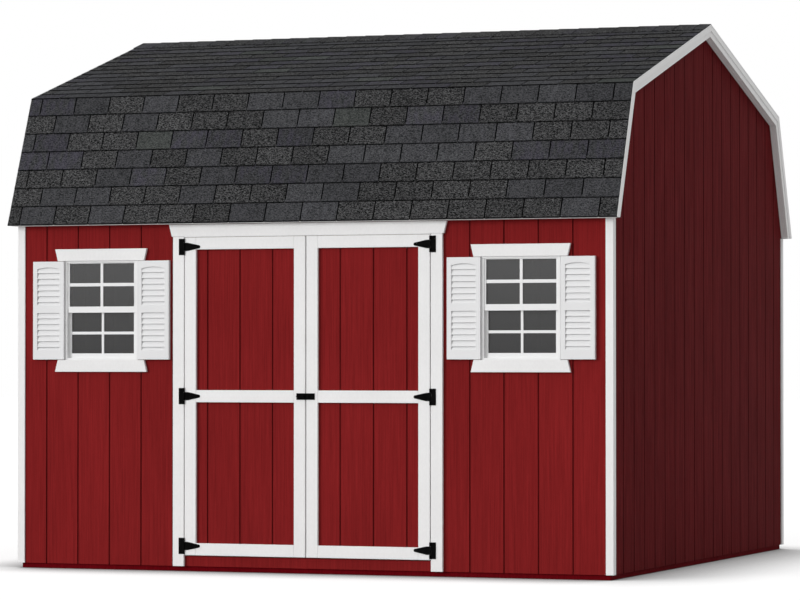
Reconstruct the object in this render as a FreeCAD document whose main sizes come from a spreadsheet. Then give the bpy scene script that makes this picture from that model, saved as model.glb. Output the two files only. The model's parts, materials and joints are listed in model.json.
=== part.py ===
import FreeCAD, Part
import os
import re
import Sketcher

# Gambrel barn shed, in millimetres. The front, with the double doors, faces -Y, +Z is up, and the
# origin is at ground level below the middle of the building.

doc = FreeCAD.newDocument("BarnShed")

# ---------------------------------------------------------------- driving dimensions
sizes = {
    # walls, from siding face to siding face
    "wall_width": 3657.6,
    "wall_depth": 3657.6,
    "wall_thickness": 102,
    "siding_thickness": 13,
    "siding_bottom": 29,
    "wall_top": 2054,
    "joint_gap": 1,
    # floor
    "floor_frame_height": 72,
    "floor_board": 38,
    "floor_bays": 9,
    "deck_thickness": 16,
    # gambrel roof, measured on the top of the shingles
    "eave_reach": 70,
    "eave_height": 2014.5,
    "steep_length": 830.5,
    "steep_pitch": 67.8,
    "upper_pitch": 16.13,
    "shingle_thickness": 8,
    "roof_deck_thickness": 40,
    "deck_side_reach": 25.5,
    "roof_side_reach": 50.5,
    "ridge_cap_width": 150,
    "ridge_cap_thickness": 4,
    # white trim boards
    "trim_thickness": 19,
    "trim_width": 70,
    "corner_trim_thickness": 9,
    "corner_trim_width": 46,
    "rake_depth": 64,
    "rake_cap_depth": 30,
    "rake_cap_thickness": 6,
    "rake_drop": 2,
    "eave_trim_thickness": 5,
    "eave_trim_setback": 10,
    # double doors
    "door_width": 1524,
    "door_head": 1937,
    "head_trim_height": 70,
    "head_trim_overrun": 8,
    "head_trim_flare": 18,
    "door_gap": 5.5,
    "meeting_gap": 7,
    "door_frame_depth": 38,
    "door_frame_setback": 8.5,
    "mid_rail_height": 1013,
    # strap hinges and latch
    "hinge_offset": 5,
    "knuckle_radius": 4.6,
    "knuckle_play": 0.6,
    "plate_thickness": 3,
    "plate_width": 34,
    "plate_height": 94,
    "strap_length": 100,
    "strap_height": 47,
    "strap_tip_radius": 9,
    "low_hinge_height": 147,
    "high_hinge_height": 1877,
    "latch_reach": 56,
    "latch_height": 37,
    "latch_thickness": 4,
    # windows
    "window_offset": 1295.4,
    "window_width": 465,
    "window_height": 579,
    "window_bottom": 1223,
    "window_depth": 70,
    "window_proud": 10,
    "window_border": 10,
    "upper_sash_stile": 15,
    "lower_sash_stile": 22,
    "sash_top_rail": 5,
    "sash_bottom_rail": 28,
    "sash_thickness": 14,
    "upper_sash_recess": 6,
    "lower_sash_recess": 21,
    "meeting_rail_height": 36,
    "meeting_rail_bottom": 1499,
    "glass_thickness": 4,
    "window_trim_half": 278,
    "window_trim_flare": 17,
    # shutters
    "shutter_inner": 239,
    "shutter_width": 200,
    "shutter_thickness": 25,
    "shutter_bottom": 1225,
    "shutter_top": 1800,
}

sheet = doc.addObject("Spreadsheet::Sheet", "Sizes")
for row, (alias, value) in enumerate(sizes.items(), 1):
    sheet.set(f"A{row}", alias)
    sheet.set(f"B{row}", str(value))
    sheet.setAlias(f"B{row}", alias)
doc.recompute()

aliasPattern = re.compile(r"\b(" + "|".join(sizes) + r")\b")


def bind(feature, target, formula):
    """Binds one property of a feature to a formula written with the sheet's aliases."""
    feature.setExpression(target, aliasPattern.sub(r"Sizes.\1", str(formula)))


# ---------------------------------------------------------------- making shapes
subParts = {}


def keep(feature, name):
    """Marks a feature as a finished sub-part of the shed."""
    feature.Label = name
    subParts[name] = feature
    return feature


def block(x, y, z):
    """A box between two formulas along each axis."""
    box = doc.addObject("Part::Box", "Block")
    for axis, side, (low, high) in (("x", "Length", x), ("y", "Width", y), ("z", "Height", z)):
        bind(box, f"Placement.Base.{axis}", low)
        bind(box, side, f"({high}) - ({low})")
    return box


def drawOutline(sketch, outline):
    """Adds a closed outline of straight lines whose corners are bound to formulas."""
    first = sketch.GeometryCount
    count = len(outline)
    for index in range(count):
        # a loose round start shape, which the bound corners then pull into place
        start = FreeCAD.Vector(index, index * index, 0)
        end = FreeCAD.Vector(index + 1, (index + 1) ** 2, 0)
        if index == count - 1:
            end = FreeCAD.Vector(0, 0, 0)
        sketch.addGeometry(Part.LineSegment(start, end), False)
    for index in range(count):
        follower = first + (index + 1) % count
        sketch.addConstraint(Sketcher.Constraint("Coincident", first + index, 2, follower, 1))
    for index, (across, up) in enumerate(outline):
        for kind, formula in (("DistanceX", across), ("DistanceY", up)):
            bound = sketch.addConstraint(Sketcher.Constraint(kind, -1, 1, first + index, 1, index + 1.0))
            bind(sketch, f"Constraints[{bound}]", formula)


def padOutlines(body, plane, outlines, start, length):
    """Pads closed outlines, the later ones being holes, along a plane's normal."""
    support = next(item for item in body.Origin.OriginFeatures if item.Role == plane)
    sketch = body.newObject("Sketcher::SketchObject", "Outline")
    sketch.AttachmentSupport = [(support, "")]
    sketch.MapMode = "FlatFace"
    bind(sketch, "AttachmentOffset.Base.z", start)
    for outline in outlines:
        drawOutline(sketch, outline)
    pad = body.newObject("PartDesign::Pad", "Pad")
    pad.Profile = sketch
    bind(pad, "Length", length)
    return pad


def prism(plane, outlines, start, length):
    body = doc.addObject("PartDesign::Body", "Body")
    padOutlines(body, plane, outlines, start, length)
    return body


def rectangle(low, high, bottom, top):
    return [(low, bottom), (high, bottom), (high, top), (low, top)]


def fuse(*pieces):
    joined = doc.addObject("Part::MultiFuse", "Fuse")
    joined.Shapes = list(pieces)
    return joined


def gather(*pieces):
    group = doc.addObject("Part::Compound", "Group")
    group.Links = list(pieces)
    return group


def mirror(source, normal):
    copy = doc.addObject("Part::Mirroring", "Mirror")
    copy.Source = source
    copy.Normal = normal
    return copy


leftToRight = FreeCAD.Vector(1, 0, 0)
frontToBack = FreeCAD.Vector(0, 1, 0)

halfWidth = "wall_width/2"
halfDepth = "wall_depth/2"
floorTop = "(floor_frame_height + deck_thickness)"

# ---------------------------------------------------------------- floor
inside = f"({halfWidth} - siding_thickness)"
insideDepth = f"({halfDepth} - siding_thickness)"
joistEnd = f"({insideDepth} - floor_board - joint_gap)"
frameZ = (0, "floor_frame_height")

floorBoards = [block((f"-{inside}", inside), (f"-{insideDepth}", f"-{insideDepth} + floor_board"), frameZ),
               block((f"-{inside}", inside), (f"{insideDepth} - floor_board", insideDepth), frameZ)]
for joist in range(sizes["floor_bays"] + 1):
    low = f"-{inside} + {joist}*(2*{inside} - floor_board)/floor_bays"
    floorBoards.append(block((low, f"{low} + floor_board"), (f"-{joistEnd}", joistEnd), frameZ))
keep(gather(*floorBoards), "floor_frame")

keep(block((f"-{inside}", inside), (f"-{insideDepth}", insideDepth), ("floor_frame_height", floorTop)),
     "floor_deck")


# ---------------------------------------------------------------- roof geometry
def steepY(depth, height):
    """Distance from the middle to the steep slope, at a height and a depth below the shingles."""
    return (f"({halfDepth} + eave_reach - ({height} - eave_height)/tan(steep_pitch)"
            f" - ({depth})/sin(steep_pitch))")


def steepZ(depth, distance):
    """Height of the steep slope at a distance from the middle."""
    return (f"(eave_height + ({halfDepth} + eave_reach - ({distance}))*tan(steep_pitch)"
            f" - ({depth})/cos(steep_pitch))")


mitrePitch = "((steep_pitch + upper_pitch)/2)"
mitreHalf = "((steep_pitch - upper_pitch)/2)"


def breakY(depth):
    return (f"({halfDepth} + eave_reach - steep_length*cos(steep_pitch)"
            f" - ({depth})*sin{mitrePitch}/cos{mitreHalf})")


def breakZ(depth):
    return (f"(eave_height + steep_length*sin(steep_pitch)"
            f" - ({depth})*cos{mitrePitch}/cos{mitreHalf})")


def ridgeZ(depth):
    return (f"({breakZ(0)} + {breakY(0)}*tan(upper_pitch) - ({depth})/cos(upper_pitch))")


def steepSlab(top, bottom, cut):
    """Section of a layer of the steep front slope, cut level at the eave."""
    return [(f"-{steepY(top, cut)}", cut), (f"-{steepY(bottom, cut)}", cut),
            (f"-{breakY(bottom)}", breakZ(bottom)), (f"-{breakY(top)}", breakZ(top))]


def upperSlab(top, bottom):
    """Section of a layer of the upper front slope, from the break to the ridge."""
    return [(f"-{breakY(top)}", breakZ(top)), (f"-{breakY(bottom)}", breakZ(bottom)),
            (0, ridgeZ(bottom)), (0, ridgeZ(top))]


roofDepth = "(shingle_thickness + roof_deck_thickness)"
deckHalf = f"({halfWidth} + deck_side_reach)"
roofHalf = f"({halfWidth} + roof_side_reach)"

slabs = [
    ("lower_roof_deck", steepSlab("shingle_thickness", roofDepth, "eave_height"), deckHalf),
    ("upper_roof_deck", upperSlab("shingle_thickness", roofDepth), deckHalf),
    ("lower_shingles", steepSlab(0, "shingle_thickness", "eave_height"), roofHalf),
    ("upper_shingles", upperSlab(0, "shingle_thickness"), roofHalf),
]
for name, section, half in slabs:
    front = keep(prism("YZ_Plane", [section], f"-{half}", f"2*{half}"), f"front_{name}")
    keep(mirror(front, frontToBack), f"back_{name}")

# ridge cap folded over the two upper slopes
capEdgeZ = f"({ridgeZ(0)} - ridge_cap_width*tan(upper_pitch))"
capRise = "ridge_cap_thickness/cos(upper_pitch)"
capSection = [("-ridge_cap_width", capEdgeZ), (0, ridgeZ(0)), ("ridge_cap_width", capEdgeZ),
              ("ridge_cap_width", f"{capEdgeZ} + {capRise}"), (0, f"{ridgeZ(0)} + {capRise}"),
              ("-ridge_cap_width", f"{capEdgeZ} + {capRise}")]
keep(prism("YZ_Plane", [capSection], f"-{roofHalf}", f"2*{roofHalf}"), "ridge_cap")

# ---------------------------------------------------------------- front and back walls
sidingStart = f"{halfDepth} - siding_thickness"
studStart = f"{halfDepth} - wall_thickness"
studDepth = "wall_thickness - siding_thickness"


def wall(low, high, bottom, holes=()):
    """A stretch of wall in the front plane: siding outside, framing behind it."""
    body = doc.addObject("PartDesign::Body", "Body")
    sidingBottom = "siding_bottom" if bottom == floorTop else bottom
    padOutlines(body, "XZ_Plane", [rectangle(low, high, bottom, "wall_top"), *holes],
                studStart, studDepth)
    padOutlines(body, "XZ_Plane", [rectangle(low, high, sidingBottom, "wall_top"), *holes],
                sidingStart, "siding_thickness")
    return body


doorHalf = "door_width/2"
windowLow = "-window_offset - window_width/2"
windowHigh = "-window_offset + window_width/2"
windowTop = "(window_bottom + window_height)"
windowHole = rectangle(windowLow, windowHigh, "window_bottom", windowTop)

frontWallLeft = keep(wall(f"-{inside}", f"-{doorHalf}", floorTop, [windowHole]), "front_wall_left")
keep(mirror(frontWallLeft, leftToRight), "front_wall_right")
keep(wall(f"-{doorHalf}", doorHalf, "door_head"), "front_wall_header")
keep(block((f"-{doorHalf}", doorHalf), (f"-{halfDepth}", f"-{insideDepth}"), ("siding_bottom", floorTop)),
     "front_sill_strip")
backPanel = wall(f"-{inside}", inside, floorTop)
keep(mirror(backPanel, frontToBack), "back_wall")

# ---------------------------------------------------------------- gable walls
gableDepth = f"({roofDepth} + joint_gap/2)"


def gableSection(half, bottom):
    """The gambrel outline of a gable wall, up to the underside of the roof."""
    shoulder = steepZ(gableDepth, half)
    outline = [(f"-{half}", bottom), (half, bottom), (half, shoulder)]
    outline += [(breakY(gableDepth), breakZ(gableDepth)), (0, ridgeZ(gableDepth)),
                (f"-{breakY(gableDepth)}", breakZ(gableDepth)), (f"-{half}", shoulder)]
    return outline


gable = doc.addObject("PartDesign::Body", "Body")
padOutlines(gable, "YZ_Plane", [gableSection(f"({halfDepth} - wall_thickness)", floorTop)],
            f"-{inside}", studDepth)
padOutlines(gable, "YZ_Plane", [gableSection(f"({halfDepth})", "siding_bottom")],
            f"-{halfWidth}", "siding_thickness")
keep(gable, "left_gable_wall")
keep(mirror(gable, leftToRight), "right_gable_wall")


# ---------------------------------------------------------------- rake trim
def rakeBoards(top, bottom, start, length):
    """Boards along the two front slopes of a gable end, a little apart at their mitres."""
    steep = steepSlab(top, bottom, "eave_height - rake_drop")
    upper = upperSlab(top, bottom)
    for corner in (2, 3):
        across, up = steep[corner]
        steep[corner] = (f"{across} - joint_gap/2*cos(steep_pitch)", f"{up} - joint_gap/2*sin(steep_pitch)")
    for corner in (0, 1):
        across, up = upper[corner]
        upper[corner] = (f"{across} + joint_gap/2*cos(upper_pitch)", f"{up} + joint_gap/2*sin(upper_pitch)")
    for corner in (2, 3):
        up = upper[corner][1]
        upper[corner] = ("-joint_gap/2", f"{up} - joint_gap/2*tan(upper_pitch)")
    return [prism("YZ_Plane", [section], start, length) for section in (steep, upper)]


boards = rakeBoards("shingle_thickness", "shingle_thickness + rake_depth",
                    f"-{halfWidth} - deck_side_reach - trim_thickness", "trim_thickness")
caps = rakeBoards("shingle_thickness", "shingle_thickness + rake_cap_depth",
                  f"-{halfWidth} - deck_side_reach - trim_thickness - rake_cap_thickness",
                  "rake_cap_thickness")
frontRake = [fuse(board, cap) for board, cap in zip(boards, caps)]
backRake = [mirror(piece, frontToBack) for piece in frontRake]
leftRake = keep(gather(*frontRake, *backRake), "left_rake_trim")
keep(mirror(leftRake, leftToRight), "right_rake_trim")

# ---------------------------------------------------------------- eave and corner trim
eaveEdge = f"-{halfDepth} - eave_reach + eave_trim_setback"
eaveTrim = block((f"-{deckHalf}", deckHalf), (eaveEdge, f"-{halfDepth}"),
                 ("eave_height - eave_trim_thickness", "eave_height"))
keep(eaveTrim, "front_eave_trim")
keep(mirror(eaveTrim, frontToBack), "back_eave_trim")

cornerOut = f"{halfWidth} + corner_trim_thickness"
cornerIn = f"{halfWidth} + corner_trim_thickness - corner_trim_width"
cornerOutY = f"{halfDepth} + corner_trim_thickness"
cornerInY = f"{halfDepth} + corner_trim_thickness - corner_trim_width"
cornerSection = [(f"-({cornerOut})", f"-({cornerOutY})"), (f"-({cornerIn})", f"-({cornerOutY})"),
                 (f"-({cornerIn})", f"-{halfDepth}"), (f"-{halfWidth}", f"-{halfDepth}"),
                 (f"-{halfWidth}", f"-({cornerInY})"), (f"-({cornerOut})", f"-({cornerInY})")]
corner = prism("XY_Plane", [cornerSection], "siding_bottom",
               "eave_height - eave_trim_thickness - siding_bottom")
frontCorners = keep(gather(corner, mirror(corner, leftToRight)), "front_corner_trim")
keep(mirror(frontCorners, frontToBack), "back_corner_trim")

# ---------------------------------------------------------------- door casing
casingTop = "(door_head + head_trim_height)"
jambOut = f"({doorHalf} + trim_width)"
headOut = f"({jambOut} + head_trim_overrun)"
leftJamb = block((f"-{jambOut}", f"-{doorHalf}"), (f"-{halfDepth} - trim_thickness", f"-{halfDepth}"),
                 ("siding_bottom", "door_head - joint_gap"))
headSection = [(f"-{headOut}", "door_head"), (headOut, "door_head"),
               (f"{headOut} + head_trim_flare", casingTop), (f"-{headOut} - head_trim_flare", casingTop)]
headTrim = prism("XZ_Plane", [headSection], halfDepth, "trim_thickness")
keep(gather(leftJamb, mirror(leftJamb, leftToRight), headTrim), "door_casing")

# ---------------------------------------------------------------- door leaves
leafOut = f"({doorHalf} - door_gap)"
leafIn = "(meeting_gap/2)"
leafBottom = f"({floorTop} + door_gap)"
leafTop = "(door_head - door_gap)"
midLow = "(mid_rail_height - trim_width/2)"
midHigh = "(mid_rail_height + trim_width/2)"
leafSheet = rectangle(f"-{leafOut}", f"-{leafIn}", leafBottom, leafTop)
leafPanel = keep(prism("XZ_Plane", [leafSheet], sidingStart, "siding_thickness"), "left_door_panel")
keep(mirror(leafPanel, leftToRight), "right_door_panel")


def ledgedFrame(meetingEdge):
    """Outline of a door's frame boards with the two openings between them."""
    inner = f"-{leafIn} - trim_width"
    return [rectangle(f"-{leafOut}", f"-{meetingEdge}", leafBottom, leafTop),
            rectangle(f"-{leafOut} + trim_width", inner, f"{leafBottom} + trim_width", midLow),
            rectangle(f"-{leafOut} + trim_width", inner, midHigh, f"{leafTop} - trim_width")]


# the inner frame stands back from the meeting edge, so that either leaf swings past the other
leafFrame = keep(prism("XZ_Plane", ledgedFrame(f"({leafIn} + door_frame_setback)"),
                       f"{sidingStart} - door_frame_depth", "door_frame_depth"), "left_door_frame")
keep(mirror(leafFrame, leftToRight), "right_door_frame")

leafTrim = keep(prism("XZ_Plane", ledgedFrame(leafIn), halfDepth, "trim_thickness"),
                "left_door_trim")
keep(mirror(leafTrim, leftToRight), "right_door_trim")

# ---------------------------------------------------------------- strap hinges
trimFace = f"({halfDepth} + trim_thickness)"
pinX = f"(-{doorHalf} + door_gap/2)"
pinY = f"(-{trimFace} - hinge_offset)"
hingeHeights = ("low_hinge_height", "mid_rail_height", "high_hinge_height")


def knuckle(bottom, top):
    barrel = doc.addObject("Part::Cylinder", "Knuckle")
    bind(barrel, "Radius", "knuckle_radius")
    bind(barrel, "Height", f"({top}) - ({bottom})")
    bind(barrel, "Placement.Base.x", pinX)
    bind(barrel, "Placement.Base.y", pinY)
    bind(barrel, "Placement.Base.z", bottom)
    return barrel


def hingePlate(height):
    """The upright plate on the jamb, with a knuckle above and below the strap's."""
    plateY = (f"-{trimFace} - plate_thickness", f"-{trimFace}")
    edge = f"{pinX} - knuckle_radius - knuckle_play"
    pieces = [block((f"{pinX} - plate_width", edge), plateY,
                    (f"{height} - plate_height/2", f"{height} + plate_height/2"))]
    for low, high in ((f"{height} - plate_height/2", f"{height} - strap_height/2 - knuckle_play"),
                      (f"{height} + strap_height/2 + knuckle_play", f"{height} + plate_height/2")):
        pieces.append(block((edge, pinX), plateY, (low, high)))
        pieces.append(knuckle(low, high))
    return fuse(*pieces)


def hingeStrap(height):
    """The strap on the door, tapering to a round tip, with the middle knuckle."""
    low = f"{height} - strap_height/2"
    high = f"{height} + strap_height/2"
    tipX = f"{pinX} + strap_length - strap_tip_radius"
    section = [(pinX, low), (f"{pinX} + strap_height/2", low), (tipX, f"{height} - strap_tip_radius"),
               (tipX, f"{height} + strap_tip_radius"), (f"{pinX} + strap_height/2", high), (pinX, high)]
    strap = prism("XZ_Plane", [section], trimFace, "plate_thickness")
    tip = doc.addObject("Part::Cylinder", "Tip")
    tip.Placement.Rotation = FreeCAD.Rotation(FreeCAD.Vector(1, 0, 0), 90)
    bind(tip, "Radius", "strap_tip_radius")
    bind(tip, "Height", "plate_thickness")
    bind(tip, "Placement.Base.x", tipX)
    bind(tip, "Placement.Base.y", f"-{trimFace}")
    bind(tip, "Placement.Base.z", height)
    return fuse(strap, tip, knuckle(low, high))


plates = keep(gather(*[hingePlate(height) for height in hingeHeights]), "left_hinge_plates")
keep(mirror(plates, leftToRight), "right_hinge_plates")
straps = keep(gather(*[hingeStrap(height) for height in hingeHeights]), "left_door_straps")
keep(mirror(straps, leftToRight), "right_door_straps")

latch = keep(block(("-latch_reach", f"-{leafIn}"), (f"-{trimFace} - latch_thickness", f"-{trimFace}"),
                   ("mid_rail_height - latch_height/2", "mid_rail_height + latch_height/2")),
             "left_latch_plate")
keep(mirror(latch, leftToRight), "right_latch_plate")

# ---------------------------------------------------------------- windows
windowFace = f"({halfDepth} + window_proud)"


def ring(low, high, bottom, top, edges):
    """A rectangle with a rectangular hole; edges are the left, right, bottom and top widths."""
    left, right, under, over = edges
    return [rectangle(low, high, bottom, top),
            rectangle(f"{low} + {left}", f"{high} - {right}", f"{bottom} + {under}", f"{top} - {over}")]


frameRing = ring(windowLow, windowHigh, "window_bottom", windowTop, ["window_border"] * 4)
sashLow = f"{windowLow} + window_border"
sashHigh = f"{windowHigh} - window_border"
sashTop = f"{windowTop} - window_border"
sashBottom = "window_bottom + window_border"
meetingTop = "(meeting_rail_bottom + meeting_rail_height)"
upperSash = ring(sashLow, sashHigh, "meeting_rail_bottom", sashTop,
                 ["upper_sash_stile", "upper_sash_stile", "meeting_rail_height", "sash_top_rail"])
lowerSash = ring(sashLow, sashHigh, sashBottom, meetingTop,
                 ["lower_sash_stile", "lower_sash_stile", "sash_bottom_rail", "meeting_rail_height"])

windowFrame = doc.addObject("PartDesign::Body", "Body")
padOutlines(windowFrame, "XZ_Plane", frameRing, f"{windowFace} - window_depth", "window_depth")
padOutlines(windowFrame, "XZ_Plane", upperSash, f"{windowFace} - lower_sash_recess",
            "lower_sash_recess - upper_sash_recess")
padOutlines(windowFrame, "XZ_Plane", lowerSash, f"{windowFace} - lower_sash_recess - sash_thickness",
            "sash_thickness")
keep(windowFrame, "left_window_frame")
keep(mirror(windowFrame, leftToRight), "right_window_frame")


def pane(sash, recess):
    """A sheet of glass that fills a sash's hole."""
    low, high = sash[1][0][0], sash[1][1][0]
    bottom, top = sash[1][0][1], sash[1][2][1]
    front = f"-({windowFace} - {recess} - sash_thickness/2)"
    return block((low, high), (front, f"{front} + glass_thickness"), (bottom, top))


glass = keep(gather(pane(upperSash, "upper_sash_recess"), pane(lowerSash, "lower_sash_recess")),
             "left_window_glass")
keep(mirror(glass, leftToRight), "right_window_glass")


def windowBoard(narrow, wide):
    """A trim board over or under a window whose ends flare away from the opening."""
    wideHalf = "(window_trim_half + window_trim_flare)"
    section = [("-window_offset - window_trim_half", narrow), ("-window_offset + window_trim_half", narrow),
               (f"-window_offset + {wideHalf}", wide), (f"-window_offset - {wideHalf}", wide)]
    return prism("XZ_Plane", [section], halfDepth, "trim_thickness")


windowTrim = keep(gather(windowBoard(windowTop, f"{windowTop} + trim_width"),
                         windowBoard("window_bottom", "window_bottom - trim_width")),
                  "left_window_trim")
keep(mirror(windowTrim, leftToRight), "right_window_trim")

shutterY = (f"-{halfDepth} - shutter_thickness", f"-{halfDepth}")
shutterZ = ("shutter_bottom", "shutter_top")
outer = "(shutter_inner + shutter_width)"
shutters = keep(gather(block((f"-window_offset - {outer}", "-window_offset - shutter_inner"),
                             shutterY, shutterZ),
                       block(("-window_offset + shutter_inner", f"-window_offset + {outer}"),
                             shutterY, shutterZ)),
                "left_window_shutters")
keep(mirror(shutters, leftToRight), "right_window_shutters")

# ---------------------------------------------------------------- check and write
doc.recompute()
for item in doc.Objects:
    for trouble in ("Invalid", "Error"):
        if trouble in item.State:
            raise RuntimeError(f"{item.Label} is {trouble}")

os.makedirs("parts", exist_ok=True)
for name, feature in subParts.items():
    shape = feature.Shape
    if shape.isNull() or not shape.isValid() or not shape.Solids:
        raise RuntimeError(f"{name} has no valid solid")
    shape.exportStep(f"parts/{name}.step")
    print(f"{name:24s} {len(shape.Solids)} solid(s) {shape.Volume / 1e6:9.2f} litres")
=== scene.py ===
import bmesh
import bpy
import json
import math
import random
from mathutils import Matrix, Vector


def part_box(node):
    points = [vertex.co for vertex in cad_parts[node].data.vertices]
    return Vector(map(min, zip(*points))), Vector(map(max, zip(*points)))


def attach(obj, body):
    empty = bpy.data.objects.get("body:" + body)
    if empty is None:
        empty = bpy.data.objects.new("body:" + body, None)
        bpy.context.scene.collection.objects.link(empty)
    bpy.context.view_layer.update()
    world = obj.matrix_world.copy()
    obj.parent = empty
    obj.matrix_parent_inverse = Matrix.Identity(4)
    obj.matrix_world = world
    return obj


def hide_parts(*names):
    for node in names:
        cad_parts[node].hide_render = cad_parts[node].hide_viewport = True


# Gambrel barn shed: siding, framing, roofing, windows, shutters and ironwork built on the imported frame.
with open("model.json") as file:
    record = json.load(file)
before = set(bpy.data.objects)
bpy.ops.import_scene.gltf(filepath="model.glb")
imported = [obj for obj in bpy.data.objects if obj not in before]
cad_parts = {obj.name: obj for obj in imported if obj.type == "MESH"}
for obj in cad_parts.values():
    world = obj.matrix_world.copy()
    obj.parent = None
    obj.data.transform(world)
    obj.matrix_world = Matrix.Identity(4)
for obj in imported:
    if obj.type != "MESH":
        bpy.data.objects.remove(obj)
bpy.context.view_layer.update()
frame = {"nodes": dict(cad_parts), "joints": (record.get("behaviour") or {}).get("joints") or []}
print("frame loaded")

quarter = math.pi / 2
hair = 0.0001  # least step between faces, and the tolerance for picking them
reach = 0.1  # cutters stand out this far past what they cut


# ---- small tools for shaping pieces
def clearSelection():
    bpy.ops.object.select_all(action="DESELECT")


def choose(*pieces):
    clearSelection()
    for piece in pieces:
        piece.select_set(True)
    bpy.context.view_layer.objects.active = pieces[0]


def openEdit(piece):
    choose(piece)
    bpy.ops.object.mode_set(mode="EDIT")


def closeEdit():
    bpy.ops.object.mode_set(mode="OBJECT")


def pick(piece, test, kind="faces"):
    # in edit mode, selects the faces, edges or vertices whose middle passes the test
    shape = bmesh.from_edit_mesh(piece.data)
    bpy.ops.mesh.select_mode(type=kind[:4].upper())
    bpy.ops.mesh.select_all(action="DESELECT")
    for item in getattr(shape, kind):
        middle = item.co if kind == "verts" else sum((v.co for v in item.verts), Vector()) / len(item.verts)
        if test(middle):
            item.select_set(True)
    shape.select_flush_mode()
    bmesh.update_edit_mesh(piece.data)


def nudge(piece, move, test, kind="verts"):
    # moves what passes the test
    openEdit(piece)
    pick(piece, test, kind)
    bpy.ops.transform.translate(value=move)
    closeEdit()


def roundOff(piece, width, segments, test):
    # bevels the edges that pass the test
    openEdit(piece)
    pick(piece, test, "edges")
    bpy.ops.mesh.bevel(offset=width, segments=segments, affect="EDGES")
    closeEdit()


def planeCut(planePoint, planeNormal, dropOuter=False):
    # in edit mode, cuts the piece, and can drop and close the side that the normal points to
    bpy.ops.mesh.select_all(action="SELECT")
    bpy.ops.mesh.bisect(plane_co=planePoint, plane_no=planeNormal, clear_outer=dropOuter, use_fill=dropOuter,
                        threshold=0.000001)


def trim(piece, *planes):
    # cuts a piece off at planes, each a point and a normal towards what is dropped
    openEdit(piece)
    for planePoint, planeNormal in planes:
        planeCut(planePoint, planeNormal, dropOuter=True)
    closeEdit()
    return piece


def applyModifier(piece, kind, **settings):
    choose(piece)
    modifier = piece.modifiers.new(kind.lower(), kind)
    for name, value in settings.items():
        setattr(modifier, name, value)
    bpy.ops.object.modifier_apply(modifier=modifier.name)


def ease(piece, width, segments=1):
    # rounds the sharp edges as a plane or a mould would
    applyModifier(piece, "BEVEL", width=width, segments=segments, limit_method="ANGLE",
                  angle_limit=math.radians(35), miter_outer="MITER_ARC")
    return piece


def repeat(piece, count, step):
    # a row of copies, each one step from the last
    applyModifier(piece, "ARRAY", count=count, use_relative_offset=False, use_constant_offset=True,
                  constant_offset_displace=step)


def carve(piece, cutter):
    # takes the cutter's shape out of the piece
    applyModifier(piece, "BOOLEAN", operation="DIFFERENCE", object=cutter, solver="EXACT")
    bpy.data.objects.remove(cutter)


def addBlock(name, low, high):
    low = Vector(low)
    high = Vector(high)
    clearSelection()
    bpy.ops.mesh.primitive_cube_add(size=1, location=(low + high) / 2, scale=high - low)
    block = bpy.context.object
    block.name = name
    bpy.ops.object.transform_apply()
    return block


def addRod(name, radius, length, middle, turn=(0, quarter, 0), sides=24):
    # a round rod, along x unless turned
    clearSelection()
    bpy.ops.mesh.primitive_cylinder_add(vertices=sides, radius=radius, depth=length, rotation=turn, location=middle)
    rod = bpy.context.object
    rod.name = name
    bpy.ops.object.transform_apply()
    return rod


def settle(piece, shift=(0, 0, 0), turn=(0, 0, 0)):
    # turns a piece about the origin, then shifts it, and applies both
    choose(piece)
    piece.rotation_euler = turn
    piece.location = shift
    bpy.ops.object.transform_apply()
    return piece


def duplicate(piece, name, shift=(0, 0, 0), turn=(0, 0, 0)):
    choose(piece)
    bpy.ops.object.duplicate()
    copy = bpy.context.object
    copy.name = name
    return settle(copy, shift, turn)


def mirrored(piece, name):
    # the same piece on the other side of the building's middle
    copy = duplicate(piece, name)
    copy.scale.x = -1
    bpy.ops.object.transform_apply()
    openEdit(copy)
    bpy.ops.mesh.select_all(action="SELECT")
    bpy.ops.mesh.normals_make_consistent()
    closeEdit()
    return copy


def joined(name, pieces):
    choose(*pieces)
    bpy.ops.object.join()
    whole = bpy.context.object
    whole.name = name
    return whole


def addToScene(name, data):
    item = bpy.data.objects.new(name, data)
    bpy.context.scene.collection.objects.link(item)
    return item


def easedCopy(node, name, width):
    # a copy of a CAD node, merged into clean faces with softened edges
    copy = addToScene(name, frame["nodes"][node].data.copy())
    choose(copy)
    bpy.ops.mesh.customdata_custom_splitnormals_clear()
    openEdit(copy)
    bpy.ops.mesh.select_all(action="SELECT")
    bpy.ops.mesh.remove_doubles(threshold=0.00002)
    bpy.ops.mesh.dissolve_limited(angle_limit=math.radians(1))
    closeEdit()
    return ease(copy, width)


def paint(piece, *finishes):
    # replaces a piece's finishes; every face takes the first
    slots = piece.data.materials
    slots.clear()
    for finish in finishes:
        slots.append(finish)
    return piece


# ---- handing pieces over
def fit(piece, slotName, *nodes, body="shed"):
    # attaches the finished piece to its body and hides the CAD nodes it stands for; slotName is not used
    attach(piece, body)
    if nodes:
        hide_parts(*nodes)


def fitLeftAndRight(piece, slotName, node, body="shed"):
    # fits a left piece, and its mirror image with the right-hand names
    other = mirrored(piece, piece.name.replace("left", "right"))
    fit(piece, slotName, node, body=body)
    fit(other, slotName, node.replace("left", "right"), body=body.replace("left", "right"))


def fitFrontAndBack(piece, slotName, *nodes):
    # fits a piece of the front roof, and a copy turned to the back with the back's names
    behind = duplicate(piece, piece.name.replace("front", "back"), turn=(0, 0, math.pi))
    fit(piece, slotName, *nodes)
    fit(behind, slotName, *[node.replace("front", "back") for node in nodes])


def fitGables(piece, slotName):
    # turns a piece modelled facing the front to the right gable, and a copy to the left one
    left = duplicate(piece, piece.name.replace("right", "left"), turn=(0, 0, -quarter))
    settle(piece, turn=(0, 0, quarter))
    fit(piece, slotName, "right_gable_wall")
    fit(left, slotName, "left_gable_wall")


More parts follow.
